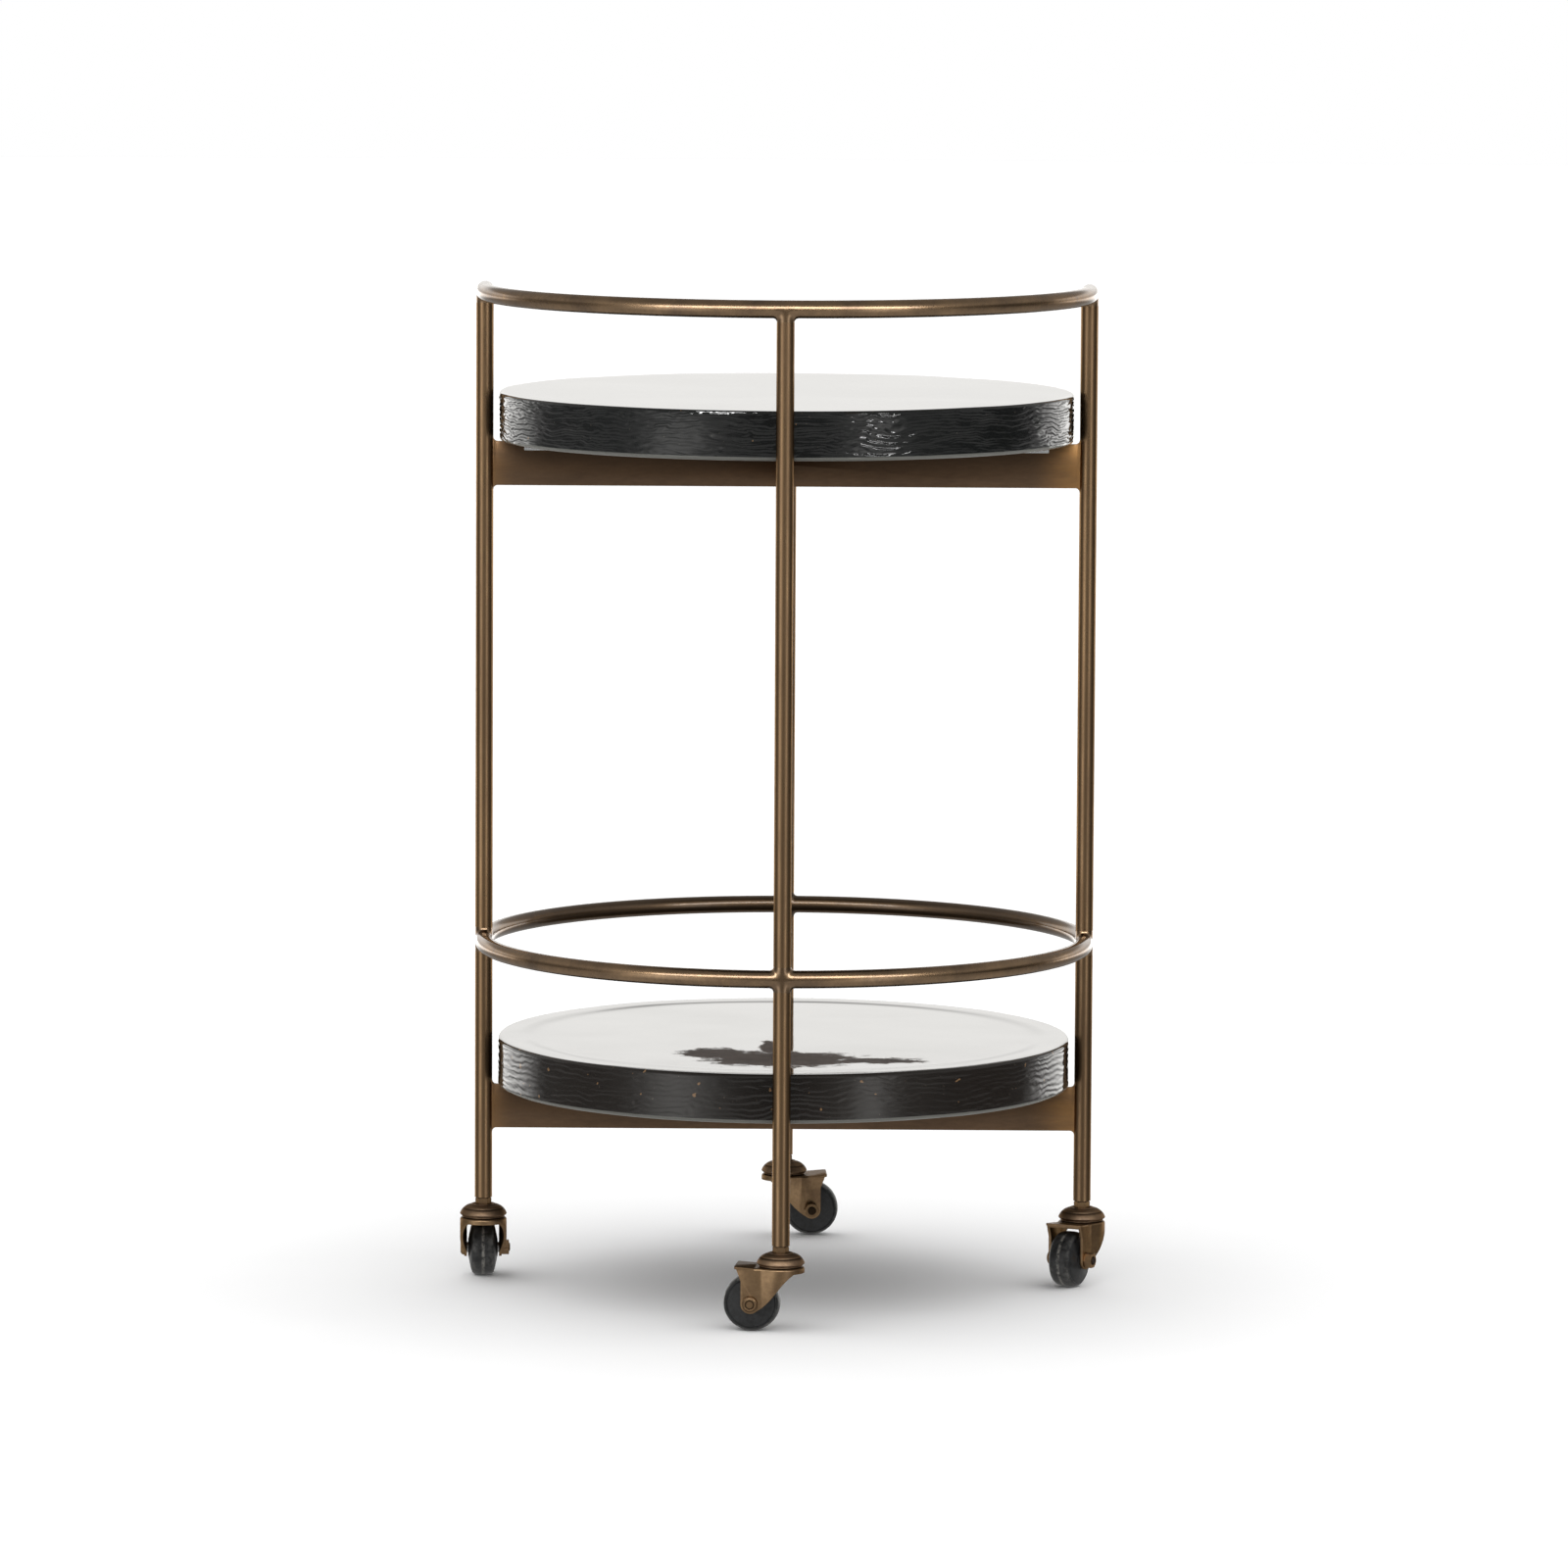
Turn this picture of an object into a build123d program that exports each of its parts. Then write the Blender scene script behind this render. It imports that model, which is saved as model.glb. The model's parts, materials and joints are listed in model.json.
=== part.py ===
from build123d import *
import os
from math import cos, degrees, radians, sin, sqrt

os.makedirs("parts", exist_ok=True)

# A round two-tier bar cart. The origin is on the floor under the middle of the post circle.
# +X is to the user's right, +Y is towards the open side of the top rail, +Z is up.

# ---- driving dimensions, mm ----
POST_CIRCLE_R = 274.0      # centreline circle of the posts, the gallery ring and the top rail
TUBE_R = 7.95              # 5/8 inch tube of the ring and the rail
POST_R = 7.9               # the posts, a slip size smaller so that they cope onto the ring
TUBE_WALL = 1.5
POST_BORE_R = POST_R - TUBE_WALL

RAIL_Z = 906.5             # centreline of the top rail
RING_Z = 314.0             # centreline of the gallery ring
POST_FOOT_Z = 76.0         # lower end of every post
REAR_POST_TOP_Z = 789.0    # the rear post ends beside the upper tray
RAIL_OVERHANG = 6.0        # how far the rail's tube runs past the side posts
CAP_T = 2.6                # domed plugs on the open tube ends
CAP_EDGE_R = 2.08
CAP_PLUG_L = 3.0
CAP_PLUG_GAP = 0.2         # leaves room for the rail's curve

BAR_H = 40.0               # flat bars that cross under each tray
BAR_T = 5.0
BAR_TOPS = {"upper": 769.5, "lower": 180.5}
WELD_R = 3.8               # concave weld where a bar meets a post
BEAD_R = 2.4               # weld beads in the corners between ring, rail and posts
BEAD_L = 8.0
BEAD_CORNER = 8.67         # from a bead's centre to the tubes' centrelines

TRAY_R = 261.5             # thick cast-glass discs
TRAY_T = 44.0
TRAY_EDGE_R = 3.5
BUMPER_T = 2.5             # clear saddles that the trays rest on
BUMPER_L = 25.0
BUMPER_MID_R = 225.5
BUMPER_DROP = 8.0
BUMPER_EDGE_R = 1.0

# 2 inch swivel casters with 5/16 inch stems
WHEEL_R = 25.4
WHEEL_HALF_W = 13.5
HUB_R = 8.5
TRAIL = 25.4               # from the swivel axis to the axle
THREAD_R = 3.97
THREAD_CHAMFER = 0.8
NUT_AF = 12.7
NUT_H = 6.75
STEM_TOP_Z = 93.0
INSERT_H = 20.0
HOOD_R = 21.4
HOOD_SHOULDER_Z = 61.0
COLLAR_OUTLINE = ((8.9, 0.0), (9.3, 0.8), (10.6, 0.8), (11.3, 0.2))    # radius, rise over the hood's top
HOOD_DOME_POINT = (18.1, 66.2)                                         # radius, height
HOOD_LIP_OUTLINE = ((20.9, 60.2), (19.3, 59.0), (19.4, 58.5), (18.5, 57.9))
PLATE_TOP_Z = 57.5         # top face of the fork's plate
PLATE_T = 2.5
PLATE_R = 21.3
LIP_Z = 52.6               # lower edge of the plate's turned-down rim
PIVOT_R = 5.95
PIVOT_GAP = 0.05           # running clearance of the swivel and of the wheel
AXIAL_GAP = 0.1
FLANGE_R = 8.5
FLANGE_T = 2.0
BALL_R = 1.5
BALL_COUNT = 20
BALL_CIRCLE_R = 12.7
RACE_HALF_W = 3.6
LEG_HALF_W = 17.2          # outer faces of the fork's legs
LEG_T = 2.5
LEG_END_X = 33.7           # trailing edge of the legs
LEG_CREASE_X = 15.5        # where the flared front of a leg turns flat
LEG_FLARE_HEADING = 71.03  # where the flared front leaves the round plate
LEG_FLARE_ROOT = 0.9       # how far in the flare starts, as a share of the plate's radius
LEG_FOOT_R = 8.4
LEG_FOOT_START = 228.0     # the foot's arc round the axle, in degrees
LEG_FOOT_ARC = 132.0
LEG_BACK = (33.8, 46.0)    # where the back edge starts to flare out, as distance and height
LEG_BACK_FLARE = 4.0
LEG_BACK_RISE = 1.2
LEG_FRONT_CURVE = ((-5.0, 44.8), (3.0, 35.0))
LIP_END_X = -13.5
TONGUE_ROOT_X = 22.0
TONGUE_END_X = 39.8
TONGUE_RISE = 1.4
TONGUE_HALF_W = 17.8
TONGUE_T = 2.1
TONGUE_CORNER_R = 2.5
BEND_R = 6.0               # outside radius of the crease down each leg
PLATE_EDGE_R = 2.0
SLEEVE_R = 4.9
HEAD_R = 7.05
HEAD_T = 3.2
HEAD_EDGE_R = 1.2
BOLT_END_L = 1.0           # past the nut
TREAD_HALF_W = 7.6         # the crowned tread
TREAD_DROP = 0.9
TYRE_SHOULDER = (23.1, 9.5)    # the bulging sides, as radius and half width
TYRE_WALL = (20.5, 10.6)
TYRE_HUB_HALF_W = 13.2
NEAR = 0.1                 # tolerance for picking edges by position

POSTS = {"right": 0.0, "rear": 90.0, "left": 180.0, "front": 270.0}
RAIL_POSTS = ("right", "left", "front")
# heading of each trailing wheel, and whether the axle is fitted the other way round
CASTERS = {
    "left": (93.0, False),
    "front": (174.0, False),
    "rear": (2.7, False),
    "right": (243.0, True),
}

HOOD_TOP_Z = POST_FOOT_Z - NUT_H
HOOD_FOOT_Z = PLATE_TOP_Z + AXIAL_GAP
PLATE_FOOT_Z = PLATE_TOP_Z - PLATE_T
LEG_INNER = LEG_HALF_W - LEG_T
RACE_TOP_Z = PLATE_TOP_Z + 2 * BALL_R + PIVOT_GAP
RACE_OUT_R = BALL_CIRCLE_R + RACE_HALF_W
RACE_IN_R = BALL_CIRCLE_R - RACE_HALF_W
BAR_LIMIT = POST_CIRCLE_R - POST_R


def save(piece, name):
    """Label a finished piece and write its STEP file."""
    piece.part.label = name
    export_step(piece.part, f"parts/{name}.step")


def on_circle(heading, z=0.0, radius=POST_CIRCLE_R):
    """A point on the post circle, at a heading in degrees from +X."""
    return (radius * cos(radians(heading)), radius * sin(radians(heading)), z)


def upright_plane(heading):
    """The plane through the Z axis whose X runs out along a heading and whose Y is up."""
    outward = Vector(cos(radians(heading)), sin(radians(heading)), 0)
    return Plane(origin=(0, 0, 0), x_dir=outward, z_dir=outward.cross(Vector(0, 0, 1)))


# ---- solid cores that the posts, bars and beads are coped to ----
with BuildPart() as ring_core:
    with Locations((0, 0, RING_Z)):
        Torus(POST_CIRCLE_R, TUBE_R)

with BuildPart() as rail_core:
    with Locations((0, 0, RAIL_Z)):
        Torus(POST_CIRCLE_R, TUBE_R)

with BuildPart() as post_cores:
    with BuildSketch(Plane.XY.offset(POST_FOOT_Z)):
        with PolarLocations(POST_CIRCLE_R, len(POSTS)):
            Circle(POST_R)
    extrude(amount=RAIL_Z - POST_FOOT_Z)


# ---- tube frame ----
def build_post(name, heading, foot_z, head_z, cores):
    """A length of post, coped to the tubes that it meets."""
    with BuildPart() as post:
        with BuildSketch(Plane(origin=on_circle(heading, foot_z))):
            Circle(POST_R)
            Circle(POST_BORE_R, mode=Mode.SUBTRACT)
        extrude(amount=head_z - foot_z)
        for core in cores:
            add(core.part, mode=Mode.SUBTRACT)
    save(post, name)


def build_tube_cap(plane):
    """A domed plug on the end of a tube, growing along the plane's normal."""
    with BuildPart() as cap:
        with BuildSketch(plane):
            Circle(TUBE_R)
        extrude(amount=CAP_T)
        fillet(cap.edges().sort_by(Axis(plane.origin, plane.z_dir))[-1], CAP_EDGE_R)
        with BuildSketch(plane):
            Circle(POST_BORE_R - CAP_PLUG_GAP)
        extrude(amount=-CAP_PLUG_L)
    return cap


for side, heading in POSTS.items():
    build_post(f"post_{side}_lower", heading, POST_FOOT_Z, RING_Z, [ring_core])
for side in RAIL_POSTS:
    build_post(f"post_{side}_upper", POSTS[side], RING_Z, RAIL_Z, [ring_core, rail_core])
build_post("post_rear_upper", POSTS["rear"], RING_Z, REAR_POST_TOP_Z, [ring_core])

with BuildPart() as gallery_ring:
    with Locations((0, 0, RING_Z)):
        Torus(POST_CIRCLE_R, TUBE_R)
        Torus(POST_CIRCLE_R, TUBE_R - TUBE_WALL, mode=Mode.SUBTRACT)
save(gallery_ring, "gallery_ring")

overhang_angle = degrees(RAIL_OVERHANG / POST_CIRCLE_R)
rail_start = POSTS["left"] - overhang_angle
rail_arc = 180.0 + 2 * overhang_angle
with BuildPart() as top_rail:
    with BuildSketch(upright_plane(rail_start)):
        with Locations((POST_CIRCLE_R, RAIL_Z)):
            Circle(TUBE_R)
            Circle(POST_BORE_R, mode=Mode.SUBTRACT)
    revolve(axis=Axis.Z, revolution_arc=rail_arc)
save(top_rail, "top_rail")

with BuildPart() as rail_end_caps:
    for heading, turn in ((rail_start, -1), (rail_start + rail_arc, 1)):
        tangent = Vector(-sin(radians(heading)), cos(radians(heading)), 0) * turn
        end_plane = Plane(origin=on_circle(heading, RAIL_Z), z_dir=tangent)
        add(build_tube_cap(end_plane).part)
save(rail_end_caps, "rail_end_caps")

rear_top = Plane(origin=on_circle(POSTS["rear"], REAR_POST_TOP_Z))
save(build_tube_cap(rear_top), "rear_post_cap")


# ---- crossed flat bars under the trays ----
def build_bar(name, heading, top_z, notch_in_top):
    """A flat bar from post to post, half-lapped in the middle, with concave welds at its ends."""
    side_plane = upright_plane(heading)
    with BuildPart() as bar:
        with BuildSketch(side_plane):
            with Locations((0, top_z - BAR_H / 2)):
                Rectangle(2 * POST_CIRCLE_R, BAR_H)
            for end in (-1, 1):
                for edge_z, away in ((top_z, 1), (top_z - BAR_H, -1)):
                    weld_x = end * (BAR_LIMIT - WELD_R)
                    with Locations((end * (BAR_LIMIT - WELD_R / 2), edge_z + away * WELD_R / 2)):
                        Rectangle(WELD_R + BAR_T, WELD_R)
                    with Locations((weld_x, edge_z + away * WELD_R)):
                        Circle(WELD_R, mode=Mode.SUBTRACT)
                    with Locations((weld_x - end * WELD_R, edge_z + away * WELD_R / 2)):
                        Rectangle(2 * WELD_R, WELD_R, mode=Mode.SUBTRACT)
        extrude(amount=BAR_T / 2, both=True)
        add(post_cores.part, mode=Mode.SUBTRACT)
        notch_z = top_z - BAR_H / 4 if notch_in_top else top_z - 3 * BAR_H / 4
        with BuildSketch(side_plane):
            with Locations((0, notch_z)):
                Rectangle(BAR_T, BAR_H / 2)
        extrude(amount=BAR_T, both=True, mode=Mode.SUBTRACT)
    save(bar, name)


for tier, bar_top in BAR_TOPS.items():
    build_bar(f"{tier}_bar_side_to_side", POSTS["right"], bar_top, True)
    build_bar(f"{tier}_bar_front_to_rear", POSTS["rear"], bar_top, False)


# ---- weld beads in the corners between tubes ----
bead_places = [(heading, RING_Z, up) for heading in POSTS.values() for up in (-1, 1)]
bead_places += [(POSTS[side], RAIL_Z, -1) for side in RAIL_POSTS]
with BuildPart() as weld_beads:
    for heading, tube_z, up in bead_places:
        outward = upright_plane(heading).x_dir
        tangent = outward.cross(Vector(0, 0, 1))
        corner = on_circle(heading, tube_z + up * BEAD_CORNER)
        with BuildSketch(Plane(origin=corner, x_dir=tangent, z_dir=outward)):
            with Locations((BEAD_CORNER, 0), (-BEAD_CORNER, 0)):
                Circle(BEAD_R)
        extrude(amount=BEAD_L / 2, both=True)
    for core in (ring_core, rail_core, post_cores):
        add(core.part, mode=Mode.SUBTRACT)
save(weld_beads, "weld_beads")


# ---- glass trays and the saddles that they rest on ----
for tier, bar_top in BAR_TOPS.items():
    with BuildPart() as tray:
        with BuildSketch(Plane.XY.offset(bar_top + BUMPER_T)):
            Circle(TRAY_R)
        extrude(amount=TRAY_T)
        fillet(tray.edges(), TRAY_EDGE_R)
    save(tray, f"{tier}_tray")

    with BuildPart() as bumpers:
        with BuildSketch(Plane.XY.offset(bar_top - BUMPER_DROP)):
            with PolarLocations(BUMPER_MID_R, len(POSTS)):
                Rectangle(BUMPER_L, BAR_T + 2 * BUMPER_T)
        extrude(amount=BUMPER_DROP + BUMPER_T)
        fillet(bumpers.edges().filter_by(Axis.Z), BUMPER_EDGE_R)
        with BuildSketch(Plane.XY.offset(bar_top - BUMPER_DROP)):
            with PolarLocations(BUMPER_MID_R, len(POSTS)):
                Rectangle(BUMPER_L, BAR_T)
        extrude(amount=BUMPER_DROP, mode=Mode.SUBTRACT)
    save(bumpers, f"{tier}_bumpers")


# ---- caster fasteners that stay on the posts ----
def hexagon():
    """The outline of a 5/16 inch nut, a corner towards +X."""
    return RegularPolygon(NUT_AF / sqrt(3), 6)


with BuildPart() as post_inserts:
    with BuildSketch(Plane.XY.offset(POST_FOOT_Z)):
        with PolarLocations(POST_CIRCLE_R, len(POSTS)):
            Circle(POST_BORE_R)
            Circle(THREAD_R, mode=Mode.SUBTRACT)
    extrude(amount=INSERT_H)
save(post_inserts, "post_inserts")

with BuildPart() as jam_nuts:
    with BuildSketch(Plane.XY.offset(HOOD_TOP_Z)):
        with PolarLocations(POST_CIRCLE_R, len(POSTS), rotate=False):
            hexagon()
            Circle(THREAD_R, mode=Mode.SUBTRACT)
    extrude(amount=NUT_H)
save(jam_nuts, "jam_nuts")


# ---- one caster, about its swivel axis, with the wheel trailing towards +X ----
with BuildPart() as stem:
    with BuildSketch(Plane.XY.offset(PLATE_FOOT_Z - AXIAL_GAP - FLANGE_T)):
        Circle(FLANGE_R)
    extrude(amount=FLANGE_T)
    with BuildSketch(Plane.XY.offset(PLATE_FOOT_Z - AXIAL_GAP)):
        Circle(PIVOT_R)
    extrude(amount=HOOD_FOOT_Z - PLATE_FOOT_Z + AXIAL_GAP)
    with BuildSketch(Plane.XY.offset(HOOD_FOOT_Z)):
        Circle(THREAD_R)
    extrude(amount=STEM_TOP_Z - HOOD_FOOT_Z)
    chamfer(stem.edges().sort_by(Axis.Z)[-1], THREAD_CHAMFER)

with BuildPart() as hood:
    with BuildSketch(Plane.XZ):
        with BuildLine():
            collar_points = [(radius, HOOD_TOP_Z + rise) for radius, rise in COLLAR_OUTLINE]
            collar = Polyline((THREAD_R, HOOD_TOP_Z), *collar_points)
            dome = ThreePointArc(collar @ 1, HOOD_DOME_POINT, (HOOD_R, HOOD_SHOULDER_Z))
            Polyline(
                dome @ 1,
                *HOOD_LIP_OUTLINE,
                (RACE_OUT_R, HOOD_LIP_OUTLINE[-1][1]),
                (RACE_OUT_R, RACE_TOP_Z),
                (RACE_IN_R, RACE_TOP_Z),
                (RACE_IN_R, HOOD_FOOT_Z),
                (THREAD_R, HOOD_FOOT_Z),
                collar @ 0,
            )
        make_face()
    revolve(axis=Axis.Z)

with BuildPart() as balls:
    with Locations((0, 0, PLATE_TOP_Z + BALL_R)):
        with PolarLocations(BALL_CIRCLE_R, BALL_COUNT):
            Sphere(BALL_R)


def fork_plan(inset, end_x):
    """The fork seen from above: a disc that narrows to two flat sides, inset by the sheet."""
    radius = PLATE_R - inset
    half_w = LEG_HALF_W - inset
    flare_x = radius * cos(radians(LEG_FLARE_HEADING))
    flare_y = radius * sin(radians(LEG_FLARE_HEADING))
    Circle(radius)
    Polygon(
        (0, -radius * LEG_FLARE_ROOT),
        (flare_x, -flare_y),
        (LEG_CREASE_X, -half_w),
        (end_x, -half_w),
        (end_x, half_w),
        (LEG_CREASE_X, half_w),
        (flare_x, flare_y),
        (0, radius * LEG_FLARE_ROOT),
        align=None,
    )


with BuildPart() as fork:
    with BuildSketch(Plane.XY):
        fork_plan(0, LEG_END_X + LEG_BACK_FLARE)
    extrude(amount=PLATE_TOP_Z + TONGUE_RISE)
    with BuildSketch(Plane.XY):
        fork_plan(LEG_T, 2 * TONGUE_END_X)
    extrude(amount=PLATE_FOOT_Z, mode=Mode.SUBTRACT)
    # the side view keeps the rim in front, the slanted legs and the round feet at the axle
    with BuildSketch(Plane.XZ):
        with BuildLine():
            foot = CenterArc((TRAIL, WHEEL_R), LEG_FOOT_R, LEG_FOOT_START, LEG_FOOT_ARC)
            outline = Polyline(
                foot @ 1,
                LEG_BACK,
                (LEG_END_X + LEG_BACK_FLARE, PLATE_FOOT_Z + LEG_BACK_RISE),
                (LEG_END_X + LEG_BACK_FLARE, PLATE_TOP_Z),
                (-PLATE_R, PLATE_TOP_Z),
                (-PLATE_R, LIP_Z),
                (LIP_END_X, LIP_Z),
            )
            Spline(outline @ 1, *LEG_FRONT_CURVE, foot @ 0)
        make_face()
    extrude(amount=2 * PLATE_R, both=True, mode=Mode.INTERSECT)
    for face_y, bend_r in ((LEG_HALF_W, BEND_R), (LEG_INNER, BEND_R + LEG_T)):
        uprights = fork.edges().filter_by(Axis.Z)
        creases = uprights.filter_by_position(Axis.X, LEG_CREASE_X - NEAR, LEG_CREASE_X + NEAR)
        fillet(creases.filter_by(lambda edge: abs(abs(edge.center().Y) - face_y) < NEAR), bend_r)
    top_edges = fork.edges().group_by(Axis.Z)[-1]
    fillet(top_edges.filter_by(lambda edge: edge.center().X < LEG_END_X), PLATE_EDGE_R)
    # the tongue over the wheel, sloping up to its end
    with BuildSketch(Plane.XZ):
        with BuildLine():
            Polyline(
                (TONGUE_ROOT_X, PLATE_TOP_Z),
                (TONGUE_END_X, PLATE_TOP_Z + TONGUE_RISE),
                (TONGUE_END_X, PLATE_TOP_Z + TONGUE_RISE - TONGUE_T),
                (TONGUE_ROOT_X, PLATE_TOP_Z - TONGUE_T),
                close=True,
            )
        make_face()
    extrude(amount=TONGUE_HALF_W, both=True)
    fillet(fork.edges().filter_by(Axis.Z).group_by(Axis.X)[-1], TONGUE_CORNER_R)
    with BuildSketch(Plane.XY):
        Circle(PIVOT_R + PIVOT_GAP)
    extrude(amount=PLATE_TOP_Z + TONGUE_RISE, mode=Mode.SUBTRACT)
    with BuildSketch(Plane.XZ):
        with Locations((TRAIL, WHEEL_R)):
            Circle(THREAD_R)
    extrude(amount=2 * PLATE_R, both=True, mode=Mode.SUBTRACT)


# ---- the wheel's pieces, about the axle: X is the trailing direction, Y is the axle ----
with BuildPart() as axle_bolt:
    with BuildSketch(Plane.XZ.offset(-LEG_HALF_W)):
        Circle(HEAD_R)
    extrude(amount=-HEAD_T)
    fillet(axle_bolt.edges().sort_by(Axis.Y)[-1], HEAD_EDGE_R)
    with BuildSketch(Plane.XZ.offset(-LEG_HALF_W)):
        Circle(THREAD_R)
    extrude(amount=2 * LEG_HALF_W + NUT_H + BOLT_END_L)
    chamfer(axle_bolt.edges().sort_by(Axis.Y)[0], THREAD_CHAMFER)

with BuildPart() as axle_nut:
    with BuildSketch(Plane.XZ.offset(LEG_HALF_W)):
        hexagon()
        Circle(THREAD_R, mode=Mode.SUBTRACT)
    extrude(amount=NUT_H)

with BuildPart() as axle_sleeve:
    with BuildSketch(Plane.XZ):
        Circle(SLEEVE_R)
        Circle(THREAD_R, mode=Mode.SUBTRACT)
    extrude(amount=LEG_INNER, both=True)

with BuildPart() as wheel_hub:
    with BuildSketch(Plane.XZ):
        Circle(HUB_R)
        Circle(SLEEVE_R + PIVOT_GAP, mode=Mode.SUBTRACT)
    extrude(amount=WHEEL_HALF_W, both=True)

with BuildPart() as tyre:
    with BuildSketch(Plane.XY):
        with BuildLine():
            tread_edge = (WHEEL_R - TREAD_DROP, TREAD_HALF_W)
            crown = ThreePointArc((tread_edge[0], -TREAD_HALF_W), (WHEEL_R, 0), tread_edge)
            Spline(crown @ 1, TYRE_SHOULDER, TYRE_WALL)
            Polyline(
                TYRE_WALL,
                (HUB_R, TYRE_HUB_HALF_W),
                (HUB_R, -TYRE_HUB_HALF_W),
                (TYRE_WALL[0], -TYRE_WALL[1]),
            )
            Spline((TYRE_WALL[0], -TYRE_WALL[1]), (TYRE_SHOULDER[0], -TYRE_SHOULDER[1]), crown @ 0)
        make_face()
    revolve(axis=Axis.Y)


def place(piece, name, location):
    """Write one caster's copy of a piece, at its place on the cart."""
    with BuildPart() as placed:
        with Locations(location):
            add(piece.part)
    save(placed, name)


swivel_pieces = {"stem": stem, "hood": hood, "balls": balls, "fork": fork}
axle_pieces = {
    "axle_bolt": axle_bolt,
    "axle_nut": axle_nut,
    "axle_sleeve": axle_sleeve,
    "wheel_hub": wheel_hub,
    "tyre": tyre,
}
for side, (trail_heading, turned) in CASTERS.items():
    swivel_axis = Location(on_circle(POSTS[side]), (0, 0, trail_heading))
    axle = swivel_axis * Location((TRAIL, 0, WHEEL_R), (0, 0, 180 if turned else 0))
    for kind, piece in swivel_pieces.items():
        place(piece, f"caster_{side}_{kind}", swivel_axis)
    for kind, piece in axle_pieces.items():
        place(piece, f"caster_{side}_{kind}", axle)
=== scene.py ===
import json
from math import cos, exp, pi, radians, sin

import bmesh
import bpy
import numpy as np
from mathutils import Matrix, Vector, noise

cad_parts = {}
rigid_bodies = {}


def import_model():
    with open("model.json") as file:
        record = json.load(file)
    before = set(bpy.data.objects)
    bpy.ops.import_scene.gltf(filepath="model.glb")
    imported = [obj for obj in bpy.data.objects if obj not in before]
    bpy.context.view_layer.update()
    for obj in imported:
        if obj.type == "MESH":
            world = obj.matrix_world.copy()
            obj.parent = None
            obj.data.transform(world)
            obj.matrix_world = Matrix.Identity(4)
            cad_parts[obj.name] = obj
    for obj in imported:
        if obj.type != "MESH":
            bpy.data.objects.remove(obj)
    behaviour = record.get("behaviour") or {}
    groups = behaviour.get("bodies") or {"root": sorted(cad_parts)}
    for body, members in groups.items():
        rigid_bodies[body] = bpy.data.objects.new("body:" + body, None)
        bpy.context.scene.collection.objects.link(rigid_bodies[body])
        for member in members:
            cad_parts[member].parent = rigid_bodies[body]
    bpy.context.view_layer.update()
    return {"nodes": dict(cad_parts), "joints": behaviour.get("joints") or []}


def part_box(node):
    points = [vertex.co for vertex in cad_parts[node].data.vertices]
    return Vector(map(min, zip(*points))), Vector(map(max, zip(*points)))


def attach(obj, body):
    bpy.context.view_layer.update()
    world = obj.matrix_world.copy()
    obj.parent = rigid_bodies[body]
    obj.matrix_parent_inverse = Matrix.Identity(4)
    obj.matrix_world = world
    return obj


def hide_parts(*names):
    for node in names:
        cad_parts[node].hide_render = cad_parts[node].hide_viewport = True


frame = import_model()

nodes = frame["nodes"]
SIDES = ("left", "front", "rear", "right")
TIERS = ("upper", "lower")
MM = 0.001
WHITE = (1.0, 1.0, 1.0)


# ---- camera: a long lens in front of the cart, a little above it ----
CAMERA_PLACE = (0.0424, -8.4817, 1.3876)
CAMERA_TURN, CAMERA_DIP, CAMERA_ROLL = 0.2913, 6.2564, 0.3062     # degrees

camera_data = bpy.data.cameras.new("camera")
camera_data.sensor_width = 36.0
camera_data.lens = 214.99
camera_data.clip_end = 200.0
camera = bpy.data.objects.new("camera", camera_data)
bpy.context.scene.collection.objects.link(camera)
camera.matrix_world = (
    Matrix.Translation(CAMERA_PLACE)
    @ Matrix.Rotation(radians(CAMERA_TURN), 4, "Z")
    @ Matrix.Rotation(radians(90 - CAMERA_DIP), 4, "X")
    @ Matrix.Rotation(radians(CAMERA_ROLL), 4, "Z")
)
bpy.context.scene.camera = camera
bpy.context.scene.view_settings.view_transform = "Standard"
bpy.context.scene.view_settings.look = "None"


# ---- small helpers ----
def link(obj):
    bpy.context.scene.collection.objects.link(obj)
    return obj


def mesh_object(name, points, faces, material=None, smooth=True):
    """An object made of points and faces, in the row frame."""
    mesh = bpy.data.meshes.new(name)
    mesh.from_pydata([tuple(p) for p in points], [], faces)
    mesh.update()
    if smooth:
        mesh.polygons.foreach_set("use_smooth", [True] * len(mesh.polygons))
    if material:
        mesh.materials.append(material)
    return link(bpy.data.objects.new(name, mesh))


def box_centre(node):
    low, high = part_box(node)
    return (Vector(low) + Vector(high)) / 2


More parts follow.
